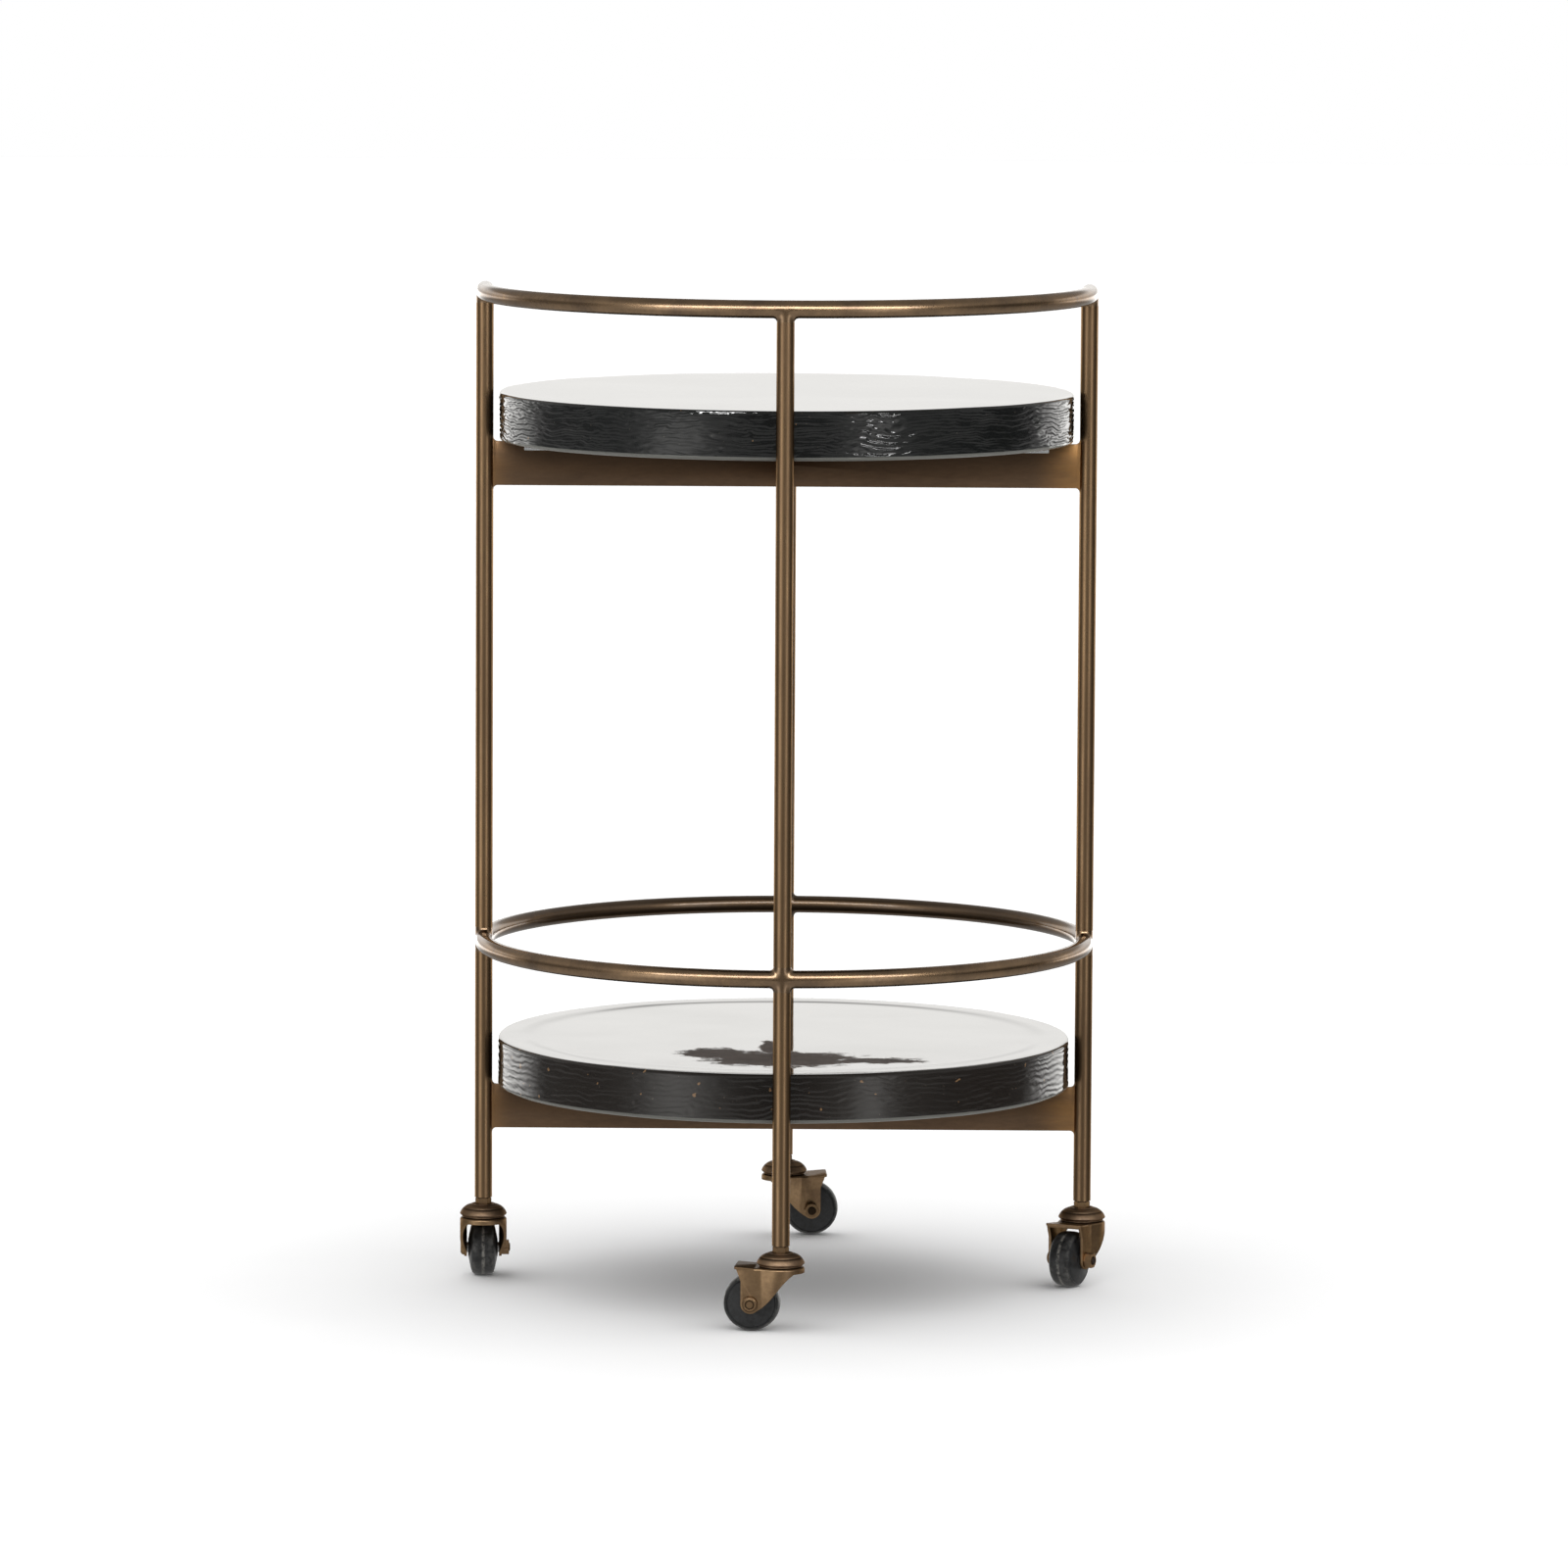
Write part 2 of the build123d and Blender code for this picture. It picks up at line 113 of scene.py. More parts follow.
class Graph:
    """Builds a node tree in few words."""

    def __init__(self, tree):
        self.tree = tree
        tree.nodes.clear()

    def node(self, kind, *values, **settings):
        """A node with its inputs set in order (None is left alone) and its properties by name."""
        made = self.tree.nodes.new(kind)
        for key, value in settings.items():
            setattr(made, key, value)
        for socket, value in zip(made.inputs, values):
            self.put(socket, value)
        return made

    def put(self, socket, value):
        if isinstance(value, bpy.types.NodeSocket):
            self.tree.links.new(value, socket)
        elif value is not None:
            socket.default_value = value

    def math(self, operation, *values):
        return self.node("ShaderNodeMath", *values, operation=operation).outputs[0]

    def add(self, a, b):
        return self.math("ADD", a, b)

    def mul(self, a, b):
        return self.math("MULTIPLY", a, b)

    def sub(self, a, b):
        return self.math("SUBTRACT", a, b)

    def most(self, a, b):
        return self.math("MAXIMUM", a, b)

    def absolute(self, value):
        return self.math("ABSOLUTE", value)

    def bell(self, value, centre, width):
        """1 at the centre, falling off as a Gaussian."""
        off = self.math("DIVIDE", self.sub(value, centre), width)
        return self.math("EXPONENT", self.mul(self.mul(off, off), -0.5))

    def step(self, value, low, high, to_low=0.0, to_high=1.0):
        made = self.node("ShaderNodeMapRange", value, low, high, to_low, to_high)
        made.interpolation_type = "SMOOTHSTEP"
        return made.outputs[0]

    def band(self, value, rise_low, rise_high, fall_low, fall_high):
        """0 outside, 1 inside, with a soft step at each side."""
        falling = self.sub(1.0, self.step(value, fall_low, fall_high))
        return self.mul(self.step(value, rise_low, rise_high), falling)

    def spot(self, where, centre, widths):
        """1 at a place on the XY plane, falling off with its own width along X and Y."""
        along_x = self.bell(where[0], centre[0], widths[0])
        return self.mul(along_x, self.bell(where[1], centre[1], widths[1]))

    def xyz(self, vector):
        return self.node("ShaderNodeSeparateXYZ", vector).outputs

    def object_xyz(self):
        return self.xyz(self.node("ShaderNodeTexCoord").outputs["Object"])

    def mark(self, name):
        """A number stored on a mesh's points (0 on a mesh without it)."""
        return self.node("ShaderNodeAttribute", attribute_name=name).outputs["Fac"]

    def place(self, scale=(1, 1, 1), turn=(0, 0, 0)):
        """Object coordinates, scaled."""
        coords = self.node("ShaderNodeTexCoord").outputs["Object"]
        return self.node("ShaderNodeMapping", coords, (0, 0, 0), turn, scale).outputs[0]

    def noise(self, where, scale, detail=3.0, rough=0.55, distortion=0.0):
        made = self.node("ShaderNodeTexNoise")
        for name, value in (
            ("Vector", where),
            ("Scale", scale),
            ("Detail", detail),
            ("Roughness", rough),
            ("Distortion", distortion),
        ):
            self.put(made.inputs[name], value)
        return made.outputs["Fac"]

    def ramp(self, value, *stops):
        """A colour ramp through (position, colour) stops."""
        made = self.node("ShaderNodeValToRGB", value)
        points = made.color_ramp.elements
        while len(points) < len(stops):
            points.new(0.5)
        for point, (position, colour) in zip(points, stops):
            point.position = position
            point.color = (*colour, 1.0)
        return made.outputs[0]

    def mix(self, share, a, b):
        made = self.node("ShaderNodeMix", data_type="RGBA")
        for socket, value in ((0, share), (6, a), (7, b)):
            if isinstance(value, tuple):
                value = (*value, 1.0)
            self.put(made.inputs[socket], value)
        return made.outputs[2]

    def bump(self, height, distance, strength=1.0, under=None):
        made = self.node("ShaderNodeBump")
        made.inputs["Strength"].default_value = strength
        made.inputs["Distance"].default_value = distance
        self.put(made.inputs["Height"], height)
        if under is not None:
            self.put(made.inputs["Normal"], under)
        return made.outputs[0]


def new_material(name):
    material = bpy.data.materials.new(name)
    material.use_nodes = True
    return material, Graph(material.node_tree)


def glow(graph, colour, strength):
    """A surface that only gives light."""
    emission = graph.node("ShaderNodeEmission", (*colour, 1.0), strength)
    graph.node("ShaderNodeOutputMaterial", emission.outputs[0])


def scaled(values, share):
    return tuple(value * share for value in values)


def between(a, b):
    return tuple((one + other) / 2 for one, other in zip(a, b))


def put_marks(mesh, name, values):
    """Stores a number on each point of a mesh, for its material."""
    marks = mesh.attributes.new(name, "FLOAT", "POINT")
    marks.data.foreach_set("value", values)


def finish_material(graph, **sockets):
    """The surface shader, with the sockets given by name (underscores stand for spaces)."""
    surface = graph.node("ShaderNodeBsdfPrincipled")
    for name, value in sockets.items():
        socket = surface.inputs[name.replace("_", " ")]
        if isinstance(value, tuple) and len(value) == 3 and socket.type == "RGBA":
            value = (*value, 1.0)
        graph.put(socket, value)
    graph.node("ShaderNodeOutputMaterial", surface.outputs[0])


# ---- light: a pale room for reflections, and a soft dome for the floor ----
# Angles are in degrees: a heading is 0 behind the cart, 180 in front and positive on the right.
ROOM_WHITE = (1.0, 0.988, 0.962)
ROOM_LEVEL, CEILING_DROP, LOW_DROP, FRONT_DROP = 0.50, 0.22, 0.20, 0.16
DARKEST = 0.04
# heading, rise, their widths and the strength of each soft light and each dark corner
LEFT_LIGHT = (-136.0, -2.0, 10.0, 16.0, 1.3)
RIGHT_LIGHT = (144.0, -2.0, 6.0, 16.0, 1.2)
RIGHT_DARK = (88.0, -4.0, 26.0, 22.0, 0.24)
LEFT_DARK = (-88.0, -4.0, 22.0, 22.0, 0.14)
BACKDROP_LOW, BACKDROP_MIDDLE, BACKDROP_HIGH = 2.7, 0.84, 1.34

world = bpy.data.worlds.new("studio")
bpy.context.scene.world = world
world.use_nodes = True
sky = Graph(world.node_tree)
east, north, up = sky.xyz(sky.node("ShaderNodeTexCoord").outputs["Generated"])
heading = sky.mul(sky.math("ARCTAN2", east, north), 180 / pi)
rise = sky.mul(sky.math("ARCSINE", up), 180 / pi)
turn = sky.absolute(heading)


def sky_patch(heading_at, rise_at, heading_width, rise_width, strength):
    patch = sky.mul(sky.bell(heading, heading_at, heading_width), sky.bell(rise, rise_at, rise_width))
    return sky.mul(patch, strength)


# darker near the horizon, overhead and in front
low_zone = sky.band(rise, -17.0, -9.0, 9.0, 18.0)
ceiling = sky.mul(sky.step(rise, 20.0, 60.0), CEILING_DROP)
level = sky.sub(sky.sub(ROOM_LEVEL, ceiling), sky.mul(low_zone, LOW_DROP))
front_dark = sky.mul(sky.step(turn, 150.0, 172.0), low_zone)
level = sky.sub(level, sky.mul(front_dark, FRONT_DROP))
level = sky.add(level, sky_patch(*LEFT_LIGHT))
level = sky.add(level, sky_patch(*RIGHT_LIGHT))
level = sky.sub(level, sky_patch(*RIGHT_DARK))
level = sky.most(sky.sub(level, sky_patch(*LEFT_DARK)), DARKEST)
# the lit backdrop behind, brightest just under the horizon
behind = sky.sub(1.0, sky.step(turn, 46.0, 70.0))
back_low = sky.mul(behind, sky.band(rise, -14.0, -3.0, -1.5, 1.0))
level = sky.add(level, sky.mul(back_low, BACKDROP_LOW))
back_high = sky.mul(behind, sky.band(rise, -1.5, 1.0, 12.0, 18.0))
level = sky.add(level, sky.mul(back_high, sky.step(rise, 3.0, 8.0, BACKDROP_MIDDLE, BACKDROP_HIGH)))
background = sky.node("ShaderNodeBackground", (*ROOM_WHITE, 1.0), level)
sky.node("ShaderNodeOutputWorld", background.outputs[0])
world.cycles_visibility.diffuse = False
world.cycles_visibility.camera = False


def lathe_points(profile, count):
    """Rings of points round Z through (radius, height) pairs."""
    angles = [2 * pi * i / count for i in range(count)]
    return [(r * cos(a), r * sin(a), z) for r, z in profile for a in angles]


def ring_faces(rings, count, closed=False):
    faces = []
    for j in range(rings if closed else rings - 1):
        a, b = j * count, ((j + 1) % rings) * count
        for i in range(count):
            k = (i + 1) % count
            faces.append((a + i, a + k, b + k, b + i))
    return faces


def only(obj, camera=False, diffuse=False, glossy=False, transmission=False, shadow=False):
    """Which rays see a stage object."""
    obj.visible_camera = camera
    obj.visible_diffuse = diffuse
    obj.visible_glossy = glossy
    obj.visible_transmission = transmission
    obj.visible_shadow = shadow


def turned_over(faces):
    """The same faces with their fronts on the other side."""
    return [face[::-1] for face in faces]


DOME_R = 90.0
STAGE_R = 24.0
DOME_POINTS, STAGE_POINTS = 32, 64
FLOOR_RINGS = (0.02, 1.0, 4.0, STAGE_R)
dome_profile = [(DOME_R * cos(radians(e)), DOME_R * sin(radians(e))) for e in range(0, 90, 6)]
dome_material, graph = new_material("dome_light")
glow(graph, WHITE, graph.step(graph.object_xyz()[2], DOME_R * 0.25, DOME_R * 0.75, 0.65, 1.43))
dome = mesh_object(
    "light_dome",
    lathe_points(dome_profile, DOME_POINTS),
    turned_over(ring_faces(len(dome_profile), DOME_POINTS)),
    dome_material,
    smooth=False,
)
only(dome, diffuse=True)

backdrop_material, graph = new_material("backdrop_white")
glow(graph, WHITE, 1.0)
backdrop = mesh_object(
    "backdrop",
    lathe_points([(STAGE_R, -0.5), (STAGE_R, 30.0)], STAGE_POINTS),
    ring_faces(2, STAGE_POINTS),
    backdrop_material,
)
only(backdrop, camera=True)

floor_material, graph = new_material("floor")
grain = graph.noise(graph.place(), 3.0, 2.0)
finish_material(
    graph,
    Base_Color=graph.ramp(grain, (0.3, (0.93, 0.93, 0.93)), (0.7, (0.95, 0.95, 0.95))),
    Roughness=0.9,
    Specular_IOR_Level=0.0,
)
floor = mesh_object(
    "floor",
    lathe_points([(r, 0.0) for r in FLOOR_RINGS], STAGE_POINTS),
    ring_faces(len(FLOOR_RINGS), STAGE_POINTS) + [tuple(reversed(range(STAGE_POINTS)))],
    floor_material,
    smooth=False,
)
only(floor, camera=True, diffuse=True, shadow=True, transmission=True)


def area_light(name, place, target, size, power):
    """A soft rectangular light, seen in reflections but not by the camera."""
    data = bpy.data.lights.new(name, "AREA")
    data.shape = "RECTANGLE"
    data.size, data.size_y = size
    data.energy = power
    lamp = link(bpy.data.objects.new(name, data))
    lamp.location = place
    lamp.rotation_euler = (Vector(target) - Vector(place)).to_track_quat("-Z", "Y").to_euler()
    lamp.visible_camera = False
    lamp.visible_diffuse = False
    return lamp


# the long soft light in front, whose reflection runs along the rail and the ring
front_soft = area_light("front_soft", (0, -2.60, 1.95), (0, 0, 0.6), (6.0, 0.75), 92.0)
metal_receivers = bpy.data.collections.new("metal_receivers")
front_soft.light_linking.receiver_collection = metal_receivers
# two small lamps, whose glints break up on the wavy side of the upper tray
glass_receivers = bpy.data.collections.new("glass_receivers")
for name, spot, size, power in (
    ("glint_left", (-0.85, -1.35, 2.75), (0.7, 0.24), 26.0),
    ("glint_right", (1.34, -1.76, 1.50), (0.5, 0.10), 5.0),
):
    glint = area_light(name, spot, (0, 0, 0.8), size, power)
    glint.light_linking.receiver_collection = glass_receivers


# ---- materials ----
EDGE_TINT = (0.34, 0.30, 0.27)     # an oxidised skin reflects less at grazing angles
POST_CIRCLE = box_centre("caster_right_stem").x
GROOVE_RADII = (12.8 * MM, 18.2 * MM)
GROOVE_WIDTH = 0.5 * MM
HEAT_COLOUR = (0.42, 0.225, 0.085)
HEAT_FROM, HEAT_TO = 0.232, 0.276  # distances from the middle of the cart
REAR_SHADE_REACH = 0.18                # behind the middle of the cart, where the painted shade is full


def heat_tint(graph, colour, cloud):
    """Straw-coloured heat tint where the bars are welded to the posts."""
    across = graph.object_xyz()
    reach = graph.most(graph.absolute(across[0]), graph.absolute(across[1]))
    near = graph.step(graph.add(reach, graph.mul(across[0], 0.05)), HEAT_FROM, HEAT_TO)
    return graph.mix(graph.mul(near, graph.step(cloud, 0.35, 0.6, 0.3, 1.0)), colour, HEAT_COLOUR)


def swivel_grooves(graph):
    """1 on the turned grooves round each swivel axis; the axes stand on the posts' circle."""
    spot = graph.object_xyz()
    squares = []
    for near, far in ((spot[0], spot[1]), (spot[1], spot[0])):
        off = graph.sub(graph.absolute(near), POST_CIRCLE)
        squares.append(graph.add(graph.mul(off, off), graph.mul(far, far)))
    from_axis = graph.math("SQRT", graph.math("MINIMUM", *squares))
    return graph.most(*(graph.bell(from_axis, radius, GROOVE_WIDTH) for radius in GROOVE_RADII))


def bronze(name, bright, dark, rough, coat, streak=(1, 1, 1), heat=False, rear_shade=0.0, ridged=False):
    """Hand-rubbed antique bronze under a thin lacquer, rougher where it is darker."""
    material, graph = new_material(name)
    cloud = graph.noise(graph.place(streak), 26.0, 5.0, 0.6, 0.3)
    fine = graph.noise(graph.place(streak), 310.0, 3.0, 0.65)
    mottle = graph.add(graph.mul(cloud, 0.72), graph.mul(fine, 0.28))
    colour = graph.ramp(mottle, (0.34, dark), (0.5, between(bright, dark)), (0.66, bright))
    # painted shade: the colour is darkened where a mesh's marks say, in the bolt head's hollows and down
    # its shank
    colour = graph.mix(graph.mark("hollow_shade"), colour, scaled(dark, 0.22))
    speck = graph.noise(graph.place(), 900.0, 2.0, 0.5)
    colour = graph.mix(graph.step(speck, 0.66, 0.74, 0.0, 0.55), colour, dark)
    if heat:
        colour = heat_tint(graph, colour, cloud)
    gloss = graph.add(graph.mul(fine, 0.5), graph.mul(cloud, 0.5))
    roughness = graph.step(gloss, 0.3, 0.7, rough[1], rough[0])
    if rear_shade:
        # painted shade: darker towards the open rear of the cart, standing in for less light reaching the
        # back of the ring and rail; duller there too
        rear_shaded = graph.mul(graph.step(graph.object_xyz()[1], 0.0, REAR_SHADE_REACH), rear_shade)
        colour = graph.mix(rear_shaded, colour, scaled(dark, 0.5))
        roughness = graph.add(roughness, graph.mul(rear_shaded, 0.16))
    bump = graph.bump(fine, 0.06 * MM, 0.14)
    bump = graph.bump(cloud, 0.5 * MM, 0.15, bump)
    if ridged:
        grooves = swivel_grooves(graph)
        bump = graph.bump(graph.mul(grooves, -1.0), 0.6 * MM, 1.0, bump)
        # painted shade: the grooves are also painted darker, for the shade that falls in them
        colour = graph.mix(graph.mul(grooves, 0.75), colour, scaled(dark, 0.3))
    finish_material(
        graph,
        Base_Color=colour,
        Metallic=1.0,
        Roughness=roughness,
        Specular_Tint=EDGE_TINT,
        Coat_Weight=coat,
        Coat_Roughness=0.13,
        Coat_IOR=1.5,
        Normal=bump,
    )
    return material


TUBE_BRIGHT, TUBE_DARK = (0.37, 0.235, 0.125), (0.17, 0.108, 0.062)
BAR_BRIGHT, BAR_DARK = (0.21, 0.128, 0.072), (0.125, 0.078, 0.047)
BRASS_BRIGHT, BRASS_DARK = (0.36, 0.235, 0.126), (0.165, 0.104, 0.060)
HOOD_BRIGHT, HOOD_DARK = (0.31, 0.205, 0.125), (0.15, 0.098, 0.062)
tube_bronze = bronze("tube_bronze", TUBE_BRIGHT, TUBE_DARK, (0.22, 0.32), 0.8, rear_shade=0.75)
post_bronze = bronze("post_bronze", TUBE_BRIGHT, TUBE_DARK, (0.24, 0.36), 0.12, (1, 1, 0.12))
bar_bronze = bronze("bar_bronze", BAR_BRIGHT, BAR_DARK, (0.36, 0.50), 0.3, (0.25, 0.25, 1), heat=True)
brass = bronze("caster_brass", BRASS_BRIGHT, BRASS_DARK, (0.34, 0.48), 0.12)
dark_brass = bronze("hood_brass", HOOD_BRIGHT, HOOD_DARK, (0.44, 0.58), 0.08, ridged=True)
METALS = (tube_bronze, post_bronze, bar_bronze, brass, dark_brass)


def simple_material(name, light, dark, scale, metallic, rough, **extra):
    """A plain surface with mottled colour, uneven gloss and a fine grain."""
    material, graph = new_material(name)
    cloud = graph.noise(graph.place(), scale, 5.0, 0.6, 0.2)
    fine = graph.noise(graph.place(), scale * 9, 3.0, 0.6)
    finish_material(
        graph,
        Base_Color=graph.ramp(cloud, (0.35, dark), (0.68, light)),
        Metallic=metallic,
        Roughness=graph.step(fine, 0.3, 0.7, rough[0], rough[1]),
        Normal=graph.bump(fine, 0.08 * MM, 0.4),
        **extra,
    )
    return material


steel = simple_material(
    "bearing_steel", (0.55, 0.55, 0.56), (0.38, 0.37, 0.36), 300.0, 1.0, (0.22, 0.38),
)
hub_plastic = simple_material(
    "wheel_hub", (0.060, 0.058, 0.055), (0.030, 0.029, 0.028), 260.0, 0.0, (0.38, 0.55),
)
clear_rubber = simple_material(
    "clear_bumper", (0.84, 0.85, 0.84), (0.74, 0.76, 0.76), 180.0, 0.0, (0.22, 0.36),
    Transmission_Weight=0.45, IOR=1.43,
)


SEED_COLOUR, FLECK_COLOUR = (0.10, 0.085, 0.065), (0.20, 0.115, 0.055)
# painted reflection: the pale colour of a tray's turned-in bottom edge
EDGE_SHEEN_COLOUR = (0.15, 0.15, 0.135)
SCUM_DARK, SCUM_LIGHT = (0.032, 0.023, 0.019), (0.066, 0.049, 0.040)
RIPPLE_PITCH = 5.4 * MM
# the brown patch's main part, arm, tip and tail: each one's centre and widths along X and Y, in mm
SCUM_SPOTS = (
    ((-2, -155), (56, 40)),
    ((-62, -118), (26, 26)),
    ((-13, -75), (6, 35)),
    ((85, -160), (34, 14)),
)


def side_ripples(graph):
    """Horizontal ripples that wander and fade, left by the mould on the side of a tray."""
    wander = graph.noise(graph.place((1.0, 1.0, 2.0)), 16.0, 3.0, 0.55, 0.4)
    phase = graph.add(graph.mul(graph.object_xyz()[2], 2 * pi / RIPPLE_PITCH), graph.mul(wander, 26.0))
    lines = graph.mul(graph.math("SINE", phase), 0.26)
    chop = graph.mul(graph.noise(graph.place((1, 1, 5)), 40.0, 2.0, 0.5), 0.7)
    depth = graph.step(graph.noise(graph.place((1.0, 1.0, 3.0)), 14.0, 2.0), 0.35, 0.65, 0.45, 1.0)
    return graph.mul(graph.add(lines, chop), depth)


def scum_patch(graph, upright, ragged):
    """1 on the ragged brown patch in the skin of the top, near the front of the pour."""
    where = graph.object_xyz()
    spots = []
    for centre, widths in SCUM_SPOTS:
        spots.append(graph.spot(where, scaled(centre, MM), scaled(widths, MM)))
    spread = graph.most(graph.most(spots[0], spots[1]), graph.most(spots[2], spots[3]))
    spread = graph.add(spread, graph.mul(graph.sub(ragged, 0.5), 1.25))
    return graph.mul(graph.step(spread, 0.36, 0.60), graph.step(upright, 0.8, 0.95))


def cast_glass(name, body, ripple, chips, scum):
    """Thick dark cast glass: a fire-polished skin with slow waves, fine ripples and seeds."""
    material, graph = new_material(name)
    cloud = graph.noise(graph.place(), 9.0, 4.0, 0.55)
    seeds = graph.noise(graph.place(), 420.0, 2.0, 0.5)
    flecks = graph.noise(graph.place(), 150.0, 1.0, 0.4)
    colour = graph.ramp(cloud, (0.35, scaled(body, 0.6)), (0.7, body))
    colour = graph.mix(graph.step(seeds, 0.735, 0.77, 0.0, 0.8), colour, SEED_COLOUR)
    colour = graph.mix(graph.step(flecks, 0.80 - chips, 0.82 - chips, 0.0, 0.9), colour, FLECK_COLOUR)
    # painted reflection: the turned-in bottom edge is painted paler where its marks say
    colour = graph.mix(graph.mark("edge_sheen"), colour, EDGE_SHEEN_COLOUR)
    upright = graph.xyz(graph.node("ShaderNodeNewGeometry").outputs["Normal"])[2]
    is_side = graph.sub(1.0, graph.step(graph.absolute(upright), 0.3, 0.8))
    swell = graph.noise(graph.place(), 7.0, 2.0, 0.4)
    bump = graph.bump(graph.mul(side_ripples(graph), is_side), 1.1 * MM * ripple)
    bump = graph.bump(swell, 3 * MM, 0.20, bump)
    roughness = graph.step(cloud, 0.3, 0.75, 0.035, 0.10)
    shine = 0.5
    if scum:
        ragged = graph.noise(graph.place((1.0, 1.3, 1.0)), 52.0, 6.0, 0.72, 0.5)
        patch = scum_patch(graph, upright, ragged)
        colour = graph.mix(patch, colour, graph.ramp(ragged, (0.35, SCUM_DARK), (0.65, SCUM_LIGHT)))
        roughness = graph.add(roughness, graph.mul(patch, 0.45))
        shine = graph.sub(shine, graph.mul(patch, 0.47))
    finish_material(
        graph,
        Base_Color=colour,
        Roughness=roughness,
        IOR=1.52,
        Specular_IOR_Level=shine,
        Normal=bump,
    )
    return material


tray_glass = {
    "upper": cast_glass("upper_glass", (0.0075, 0.0085, 0.0085), 1.0, 0.0, False),
    "lower": cast_glass("lower_glass", (0.0150, 0.0120, 0.0100), 0.3, 0.06, True),
}


def worn_rubber():
    """Black rubber with pale scuffs where the mesh is marked as worn."""
    material, graph = new_material("tyre_rubber")
    cloud = graph.noise(graph.place(), 210.0, 5.0, 0.65, 0.4)
    fine = graph.noise(graph.place(), 1500.0, 3.0, 0.6)
    colour = graph.ramp(cloud, (0.40, (0.005, 0.0055, 0.006)), (0.72, (0.027, 0.028, 0.030)))
    grain = graph.add(graph.mul(cloud, 0.6), graph.mul(fine, 0.4))
    scuff = graph.mul(graph.mark("worn"), graph.step(grain, 0.40, 0.58))
    finish_material(
        graph,
        Base_Color=graph.mix(scuff, colour, (0.21, 0.20, 0.18)),
        Roughness=graph.step(cloud, 0.3, 0.7, 0.36, 0.60),
        Normal=graph.bump(fine, 0.12 * MM, 0.5),
    )
    return material


tyre_rubber = worn_rubber()

SLOT_MATERIALS = {
    "bronze_tube": tube_bronze,
    "bronze_bar": bar_bronze,
    "caster_brass": brass,
    "cast_glass": tray_glass["upper"],
    "clear_bumper": clear_rubber,
    "bearing_steel": steel,
    "wheel_hub": hub_plastic,
    "tyre_rubber": tyre_rubber,
}
for name, obj in nodes.items():
    for held in obj.material_slots:
        slot_name = held.material.name.split(".")[0]
        held.material = SLOT_MATERIALS[slot_name]
        if name.startswith("post_") and slot_name == "bronze_tube":
            held.material = post_bronze
        if name.endswith(("_hood", "_stem")):
            held.material = dark_brass


# ---- the glass trays ----
TRAY_POINTS = 640            # round each row
TRAY_EDGE = 3.6 * MM
TOP_ROWS, EDGE_ROWS, SIDE_ROWS = 46, 8, 48
# a seed, and the depth in mm of the side's fine ripples and of its chop
TRAY_GRAIN = {"upper": (3.1, 0.20, 0.09), "lower": (8.7, 0.06, 0.07)}
# the raised rim of the lower tray's top
RIM_WIDTH, RIM_SLOPE, RIM_HEIGHT = 21 * MM, 7 * MM, 0.9 * MM


def tray_rows(radius, bottom, top):
    """(kind, radius, height) of each row of points, from the middle of the top round to the bottom."""
    corner = radius - TRAY_EDGE
    rows = []
    for i in range(TOP_ROWS):
        rows.append(("top", corner * (0.02 + 0.98 * (i / (TOP_ROWS - 1)) ** 0.85), top))
    for i in range(1, EDGE_ROWS):
        a = radians(90 - 90 * i / EDGE_ROWS)
        rows.append(("side", corner + TRAY_EDGE * cos(a), top - TRAY_EDGE + TRAY_EDGE * sin(a)))
    for i in range(SIDE_ROWS + 1):
        down = (top - bottom - 2 * TRAY_EDGE) * i / SIDE_ROWS
        rows.append(("side", radius, top - TRAY_EDGE - down))
    for i in range(1, EDGE_ROWS):
        a = radians(-90 * i / EDGE_ROWS)
        rows.append(("side", corner + TRAY_EDGE * cos(a), bottom + TRAY_EDGE + TRAY_EDGE * sin(a)))
    for r in (corner, radius * 0.8, radius * 0.4, radius * 0.02):
        rows.append(("bottom", r, bottom))
    return rows


def edge_wave(x, y, seed):
    """How far the rim of a tray rises and falls."""
    return noise.noise(Vector((x * 3.1, y * 3.1, seed))) * 0.35 * MM


def side_point(x, y, r, z, grain):
    """A point on the side: a slow wander of the outline, and horizontal ripples left by the mould."""
    seed, line_depth, chop_depth = grain
    wander = noise.noise(Vector((x * 2.3 + seed, y * 2.3, z * 9.0))) * 0.55
    line = noise.noise(Vector((x * 9.0, y * 9.0 + seed, z * 330.0))) * line_depth
    chop = noise.noise(Vector((x * 26.0, y * 26.0 + seed, z * 120.0))) * chop_depth
    r += (wander + line + chop) * MM
    return (x * r, y * r, z + edge_wave(x, y, seed))


def top_point(x, y, r, z, radius, seed, rimmed):
    """A point on the top: a slow swell, still near the edge, and a shallow well inside any rim."""
    swell = noise.noise(Vector((x * r * 9.0 + seed, y * r * 9.0, 0.3))) * 0.35 * MM
    swell *= min(1.0, (radius - r) / (18 * MM))
    well = 0.0
    if rimmed:
        inside = max(radius - r - RIM_WIDTH, 0.0)
        well = RIM_HEIGHT * (1 - exp(-(inside / RIM_SLOPE) ** 2))
    return (x * r, y * r, z + swell - well + edge_wave(x, y, seed) * (r / radius) ** 6)


